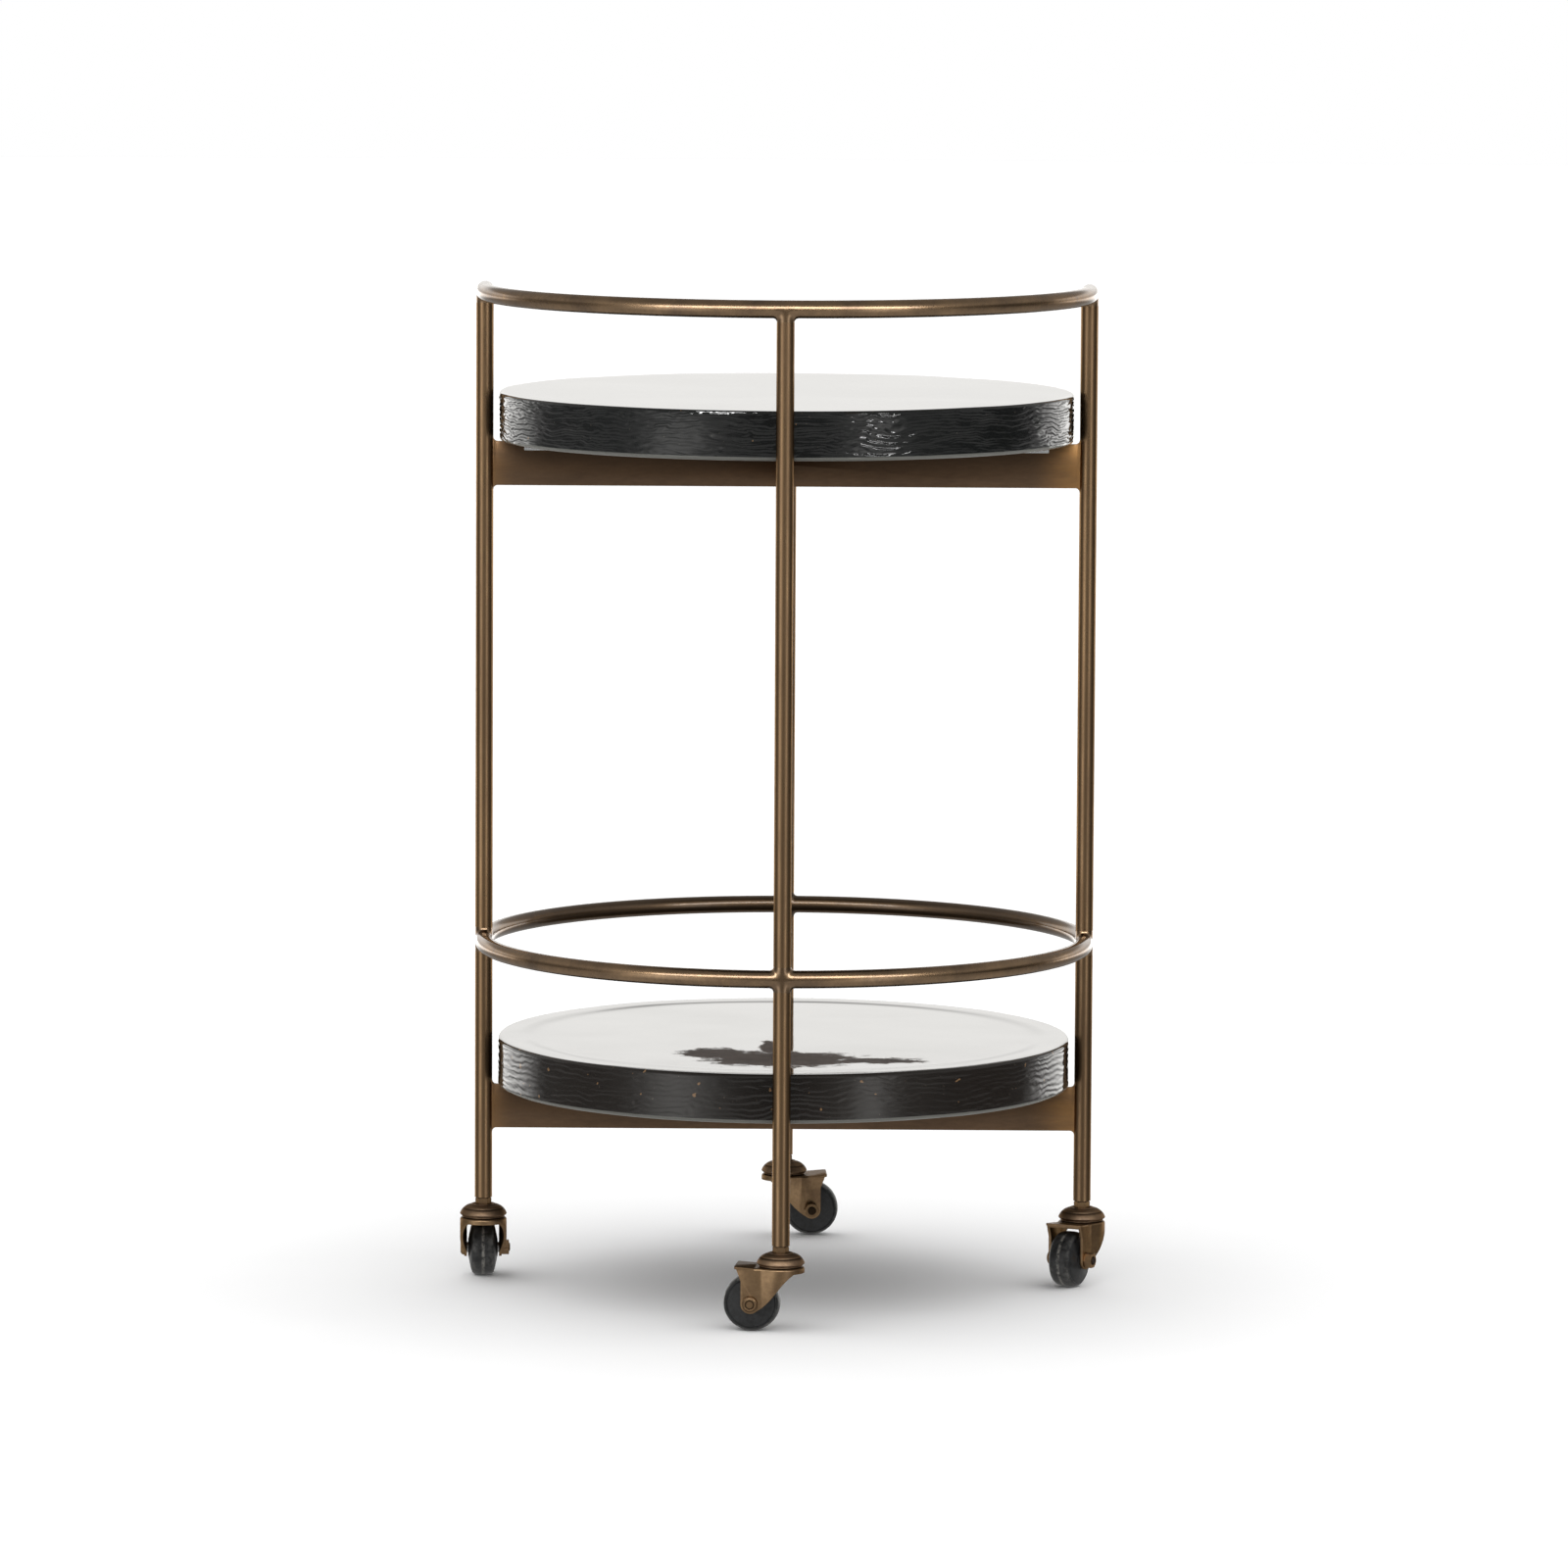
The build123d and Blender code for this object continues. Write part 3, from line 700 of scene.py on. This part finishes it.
def make_tray(tier):
    """A cast disc with a wavering edge, rippled sides and a slow swell over its top."""
    node = f"{tier}_tray"
    low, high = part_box(node)
    radius = (high[0] - low[0]) / 2
    grain = TRAY_GRAIN[tier]
    rows = tray_rows(radius, low[2], high[2])
    points = []
    for kind, r, z in rows:
        for i in range(TRAY_POINTS):
            a = 2 * pi * i / TRAY_POINTS
            x, y = cos(a), sin(a)
            if kind == "side":
                points.append(side_point(x, y, r, z, grain))
            elif kind == "top":
                points.append(top_point(x, y, r, z, radius, grain[0], tier == "lower"))
            else:
                points.append((x * r, y * r, z))
    faces = turned_over(ring_faces(len(rows), TRAY_POINTS))
    faces.append(tuple(range(TRAY_POINTS)))
    faces.append(tuple(range(len(points) - 1, len(points) - TRAY_POINTS - 1, -1)))
    piece = mesh_object(f"{tier}_tray_cast", points, faces, tray_glass[tier])
    # painted reflection: the turned-in edge at the bottom is painted paler, standing in for its
    # reflection of the pale floor
    sheen_top = low[2] + TRAY_EDGE * 0.9
    edge_sheen = []
    for kind, _, z in rows:
        edge_sheen += [0.8 if kind == "side" and z < sheen_top else 0.0] * TRAY_POINTS
    put_marks(piece.data, "edge_sheen", edge_sheen)
    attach(piece, "frame")
    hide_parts(node)
    if tier == "upper":
        glass_receivers.objects.link(piece)


for tier in TIERS:
    make_tray(tier)


# ---- smooth welds where tubes meet ----
WELD_VOXEL = 0.75 * MM
WELD_PASSES = 26             # rounds of smoothing
WELD_REACH = 17 * MM         # along each tube
WELD_PROUD, WELD_SINK = 0.28 * MM, 0.5 * MM
RAIL_STUB = 4.5 * MM         # the rail runs on past each side post
PATH_STEPS = 25
ring_low, ring_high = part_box("gallery_ring")
tube_r = (ring_high[2] - ring_low[2]) / 2
ring_r = ring_high[0] - tube_r
ring_z = (ring_high[2] + ring_low[2]) / 2
rail_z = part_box("top_rail")[1][2] - tube_r


def tube_rings(path, radii, count=40):
    """Points and faces of a closed tube along a path of points, with a radius at each."""
    points = []
    for k, centre in enumerate(path):
        ahead = (path[min(k + 1, len(path) - 1)] - path[max(k - 1, 0)]).normalized()
        across = ahead.orthogonal().normalized() if k == 0 else across - ahead * across.dot(ahead)
        across.normalize()
        other = ahead.cross(across)
        for i in range(count):
            a = 2 * pi * i / count
            points.append(centre + (across * cos(a) + other * sin(a)) * radii[k])
    faces = ring_faces(len(path), count)
    faces.append(tuple(range(count - 1, -1, -1)))
    last = len(points) - count
    faces.append(tuple(last + i for i in range(count)))
    return points, faces


def relaxed(mesh, passes):
    """Moves each vertex most of the way to the middle of its neighbours, some times over."""
    count = len(mesh.vertices)
    co = np.empty(count * 3)
    mesh.vertices.foreach_get("co", co)
    co = co.reshape(-1, 3)
    ends = np.empty(len(mesh.edges) * 2, int)
    mesh.edges.foreach_get("vertices", ends)
    a, b = ends.reshape(-1, 2).T
    degree = np.bincount(np.concatenate((a, b)), minlength=count)[:, None]
    for _ in range(passes):
        total = np.zeros_like(co)
        np.add.at(total, a, co[b])
        np.add.at(total, b, co[a])
        co = co * 0.4 + 0.6 * total / degree
    mesh.vertices.foreach_set("co", co.ravel())
    mesh.update()


def fused(name, arms):
    """One skin over several tubes, with the corners between them filled and smoothed like a weld."""
    points, faces = [], []
    for path, radii in arms:
        more, more_faces = tube_rings(path, radii)
        faces += [tuple(i + len(points) for i in face) for face in more_faces]
        points += more
    rough = mesh_object(name + "_rough", points, faces)
    remesh = rough.modifiers.new("remesh", "REMESH")
    remesh.mode = "VOXEL"
    remesh.voxel_size = WELD_VOXEL
    skin = bpy.data.meshes.new_from_object(rough.evaluated_get(bpy.context.evaluated_depsgraph_get()))
    bpy.data.objects.remove(rough)
    relaxed(skin, WELD_PASSES)
    skin.polygons.foreach_set("use_smooth", [True] * len(skin.polygons))
    skin.materials.clear()
    skin.materials.append(tube_bronze)
    return skin


def arc_path(z, start, end):
    """Points along the ring, or the rail above it, by distance from the front post."""
    path = []
    for i in range(PATH_STEPS):
        angle = 1.5 * pi + (start + (end - start) * i / (PATH_STEPS - 1)) / ring_r
        path.append(Vector((ring_r * cos(angle), ring_r * sin(angle), z)))
    return path


def upright_path(start_z, end_z):
    """Points along the front post."""
    climb = (end_z - start_z) / (PATH_STEPS - 1)
    return [Vector((0, -ring_r, start_z + climb * i)) for i in range(PATH_STEPS)]


def taper(both):
    """Radii that stand proud of the tube and sink into it towards the end, or both ends."""
    radii = []
    for i in range(PATH_STEPS):
        share = i / (PATH_STEPS - 1)
        out = abs(2 * share - 1) if both else share
        fall = max(0.0, (out - 0.55) / 0.45) ** 1.5
        radii.append(tube_r + WELD_PROUD - (WELD_PROUD + WELD_SINK) * fall)
    return radii


def rail_weld(name, start, end, both):
    """The skin where the rail sits on a post, with the rail covered from start to end."""
    rail = (arc_path(rail_z, start, end), taper(both))
    post = (upright_path(rail_z, rail_z - WELD_REACH), taper(False))
    return fused(name, [rail, post])


# each skin is made at the front post and turned to its own
ring_run = (arc_path(ring_z, -WELD_REACH, WELD_REACH), taper(True))
post_run = (upright_path(ring_z - WELD_REACH, ring_z + WELD_REACH), taper(True))
ring_joint = fused("ring_joint", [ring_run, post_run])
rail_joint = rail_weld("rail_joint", -WELD_REACH, WELD_REACH, True)
left_joint = rail_weld("left_joint", -RAIL_STUB, WELD_REACH, False)
right_joint = rail_weld("right_joint", RAIL_STUB, -WELD_REACH, False)
weld_seats = [(ring_joint, quarter) for quarter in range(4)]
weld_seats += [(rail_joint, 0), (right_joint, 1), (left_joint, 3)]
for number, (skin, quarter) in enumerate(weld_seats, 1):
    weld = link(bpy.data.objects.new(f"weld_{number}", skin.copy()))
    weld.data.transform(Matrix.Rotation(quarter * pi / 2, 4, "Z"))
    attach(weld, "frame")
    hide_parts("weld_beads")


# ---- CAD shapes that get softened edges ----
def softened(node, body, width, segments=2, angle=32.0):
    """A copy of a CAD node's shape with its sharp edges rounded over."""
    mesh = nodes[node].data.copy()
    shape = bmesh.new()
    shape.from_mesh(mesh)
    bmesh.ops.remove_doubles(shape, verts=shape.verts, dist=2e-6)
    bmesh.ops.dissolve_limit(shape, angle_limit=radians(0.5), verts=shape.verts, edges=shape.edges)
    sharp = [e for e in shape.edges if len(e.link_faces) == 2 and e.calc_face_angle(0) > radians(angle)]
    bmesh.ops.bevel(
        shape, geom=sharp, offset=width, offset_type="OFFSET", segments=segments, profile=0.5,
        affect="EDGES", clamp_overlap=True,
    )
    for face in shape.faces:
        face.smooth = True
    shape.to_mesh(mesh)
    shape.free()
    for old in ("sharp_edge", "custom_normal"):
        if mesh.attributes.get(old):
            mesh.attributes.remove(mesh.attributes[old])
    mesh.set_sharp_from_angle(angle=radians(40))
    piece = link(bpy.data.objects.new(f"{node}_soft", mesh))
    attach(piece, body)
    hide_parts(node)


for tier in TIERS:
    for run in ("side_to_side", "front_to_rear"):
        softened(f"{tier}_bar_{run}", "frame", 0.45 * MM)
    softened(f"{tier}_bumpers", "frame", 0.5 * MM, 3)


# ---- casters: tyres, bolts and nuts (profiles in mm) ----
TYRE_POINTS = 144
# (radius, distance from the tyre's middle) over one half of its outside
TYRE_HALF = [
    (25.40, 0.0), (25.33, 2.6), (25.05, 5.2), (24.45, 7.6), (23.6, 9.2), (22.4, 10.1), (21.9, 10.15),
    (21.55, 9.85), (21.2, 10.25), (19.6, 11.0), (15.0, 12.0), (11.0, 12.8), (8.6, 13.15),
]
TYRE_BORE = [(8.5, 12.4), (8.5, 0.0), (8.5, -12.4)]
STEM_R = 3.97
NUT_FLATS = 12.7
NUT_POINTS = 96
AXLE_NUT_HEIGHT, JAM_NUT_HEIGHT = 6.75, 6.1
AXLE_NUT_SEAT = -17.2
NUT_CHAMFER = 0.58           # how far the chamfer falls for its width
# (radius, distance along the axle) over the bolt's head and shank
BOLT_POINTS = 64
HEAD_CROWN = [(0.05, 20.15), (2.0, 20.12), (3.9, 19.95)]
HEAD_RING = [(4.15, 19.95), (4.45, 20.42), (5.0, 20.50), (5.5, 20.25), (5.75, 19.75)]
HEAD_RIM = [(5.9, 19.6), (6.5, 19.35), (6.9, 18.7), (7.05, 17.9), (7.05, 17.2)]
SHANK = [(STEM_R, 17.2), (STEM_R, -24.15), (3.2, -24.95), (0.05, -24.95)]
BAR_CORNERS = ((-1, -1), (1, -1), (1, 1), (-1, 1))
BAR_FACES = ((4, 5, 6, 7), (0, 1, 5, 4), (1, 2, 6, 5), (2, 3, 7, 6), (3, 0, 4, 7), (3, 2, 1, 0))


def wheel_place(side):
    """Where a wheel stands: Z up from its centre, Y along the axle to the bolt's head."""
    spin = next(joint for joint in frame["joints"] if joint["name"] == f"caster_{side}_wheel_spin")
    centre = box_centre(f"caster_{side}_tyre")
    swivel = box_centre(f"caster_{side}_stem")
    trail = Vector((centre.x - swivel.x, centre.y - swivel.y, 0)).normalized()
    axle = Vector((0, 0, 1)).cross(trail)
    assert abs(abs(axle.dot(Vector(spin["axis"]))) - 1) < 1e-3
    nut = box_centre(f"caster_{side}_axle_nut") - centre
    turned = -1 if nut.dot(axle) > 0 else 1
    basis = Matrix((trail * turned, axle * turned, Vector((0, 0, 1)))).transposed().to_4x4()
    return Matrix.Translation(centre) @ basis


def lathe(name, profile, count, material, wobble=None):
    """A solid turned round the Y axis from a closed list of (radius, along) pairs, in mm."""
    points = []
    for r, along in profile:
        for i in range(count):
            a = 2 * pi * i / count
            out = r + (wobble(r, along, a) if wobble else 0.0)
            points.append((out * cos(a) * MM, along * MM, out * sin(a) * MM))
    return mesh_object(name, points, ring_faces(len(profile), count, closed=True), material)


def smooth_run(knots, steps=3):
    """Catmull-Rom points through (radius, along) knots."""
    run = []
    for k in range(len(knots) - 1):
        before, a, b, after = (knots[max(k - 1, 0)], *knots[k:k + 2], knots[min(k + 2, len(knots) - 1)])
        for i in range(steps):
            t = i / steps
            run.append(tuple(
                0.5 * (2 * a[n] + (b[n] - before[n]) * t
                       + (2 * before[n] - 5 * a[n] + 4 * b[n] - after[n]) * t * t
                       + (3 * a[n] - before[n] - 3 * b[n] + after[n]) * t ** 3)
                for n in (0, 1)
            ))
    run.append(knots[-1])
    return run


def tread_wear(r, along, a, seed):
    """How worn a tyre is at a point: most in the band that rolls, and in patches on its shoulders."""
    band = 0.95 * exp(-((abs(along) / 1.3) ** 4)) if r > 24 else 0.0
    shoulder = 0.35 * exp(-(((r - 23.9) / 0.8) ** 2))
    patch = 0.55 + 0.9 * noise.noise(Vector((cos(a) * 2.2, sin(a) * 2.2, seed + along * 0.1)))
    return min(1.0, max(0.0, band + shoulder * patch + 0.12 * patch * (r > 22.5)))


def make_tyre(side, place):
    half = smooth_run(TYRE_HALF, 4)
    profile = [(r, -along) for r, along in half[::-1]] + half[1:] + TYRE_BORE
    seed = SIDES.index(side) * 3.7

    def scuffed(r, along, a):
        rough = noise.noise(Vector((cos(a) * 9, sin(a) * 9 + seed, along * 0.9)))
        return 0.05 * rough - (0.10 if r > 25.2 and abs(along) < 1.7 else 0.0)

    tyre = lathe(f"caster_{side}_tyre_worn", profile, TYRE_POINTS, tyre_rubber, scuffed)
    angles = [2 * pi * i / TYRE_POINTS for i in range(TYRE_POINTS)]
    put_marks(tyre.data, "worn", [tread_wear(r, along, a, seed) for r, along in profile for a in angles])
    tyre.data.transform(place)
    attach(tyre, f"caster_{side}_wheel")
    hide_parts(f"caster_{side}_tyre")


def bolt_hollow_shade(r, along):
    """Painted shade on the bolt at a point: darker in the head's two hollows and down its shank."""
    inner = exp(-(((r - 3.6) / 0.7) ** 2))
    outer = exp(-(((r - 6.1) / 0.35) ** 2)) * 0.6
    return max(inner, outer, float(along < 17.6))


def raised_bar(shape, angle):
    """A short bar inside the ring on the bolt's head, narrower on top."""
    corners = []
    for width, length, height in ((0.42, 1.05, 19.9), (0.294, 0.5775, 20.4)):
        for u, v in BAR_CORNERS:
            across, out = u * width, 2.15 + v * length
            x = out * cos(angle) - across * sin(angle)
            z = out * sin(angle) + across * cos(angle)
            corners.append(shape.verts.new((x * MM, height * MM, z * MM)))
    for face in BAR_FACES:
        shape.faces.new([corners[i] for i in face])


def make_bolt(side, place):
    """The axle bolt: a domed head with a raised ring and four plain bars, a shank and a chamfered end."""
    profile = smooth_run(HEAD_CROWN) + smooth_run(HEAD_RING) + smooth_run(HEAD_RIM) + SHANK
    bolt = lathe(f"caster_{side}_bolt_domed", profile, BOLT_POINTS, brass)
    # marks where painted shade darkens the bolt
    put_marks(bolt.data, "hollow_shade", [bolt_hollow_shade(*point) for point in profile for _ in range(BOLT_POINTS)])
    shape = bmesh.new()
    shape.from_mesh(bolt.data)
    for quarter in range(4):
        raised_bar(shape, quarter * pi / 2 + 0.4)
    bmesh.ops.recalc_face_normals(shape, faces=shape.faces)
    shape.to_mesh(bolt.data)
    shape.free()
    bolt.data.set_sharp_from_angle(angle=radians(38))
    bolt.data.transform(place)
    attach(bolt, f"caster_{side}_swivel")
    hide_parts(f"caster_{side}_axle_bolt")


def hex_nut(name, height, place):
    """A hexagon nut, chamfered on both faces, standing on Z = 0 and pointing a corner along X."""
    flat = NUT_FLATS / 2
    face_r = flat + 0.05
    rows = [[] for _ in range(6)]
    for i in range(NUT_POINTS):
        a = 2 * pi * i / NUT_POINTS
        hexagon = flat / cos((a % (pi / 3)) - pi / 6)
        inner = min(hexagon, face_r)
        fall = max(0.0, hexagon - face_r) * NUT_CHAMFER + 0.02
        outline = (
            (STEM_R, 0.0), (inner, 0.0), (hexagon, fall),
            (hexagon, height - fall), (inner, height), (STEM_R, height),
        )
        for row, (r, z) in zip(rows, outline):
            row.append((r * cos(a) * MM, r * sin(a) * MM, z * MM))
    faces = turned_over(ring_faces(len(rows), NUT_POINTS, closed=True))
    nut = mesh_object(name, [point for row in rows for point in row], faces, brass)
    nut.data.set_sharp_from_angle(angle=radians(24))
    nut.data.transform(place)
    return nut


def make_axle_nut(side, place):
    lay = place @ Matrix.Translation((0, AXLE_NUT_SEAT * MM, 0)) @ Matrix.Rotation(pi / 2, 4, "X")
    nut = hex_nut(f"caster_{side}_nut_chamfered", AXLE_NUT_HEIGHT, lay)
    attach(nut, f"caster_{side}_swivel")
    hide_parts(f"caster_{side}_axle_nut")


def make_jam_nut(side):
    stem = box_centre(f"caster_{side}_stem")
    seat = Matrix.Translation((stem.x, stem.y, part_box("jam_nuts")[0][2]))
    nut = hex_nut(f"caster_{side}_jam_nut", JAM_NUT_HEIGHT, seat)
    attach(nut, "frame")
    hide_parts("jam_nuts")


for side in SIDES:
    place = wheel_place(side)
    make_tyre(side, place)
    make_bolt(side, place)
    make_axle_nut(side, place)
    make_jam_nut(side)
    softened(f"caster_{side}_fork", f"caster_{side}_swivel", 0.35 * MM)


# ---- what the front lamp lights ----
for obj in bpy.context.scene.objects:
    if obj.type == "MESH" and obj.data.materials and obj.data.materials[0] in METALS:
        metal_receivers.objects.link(obj)
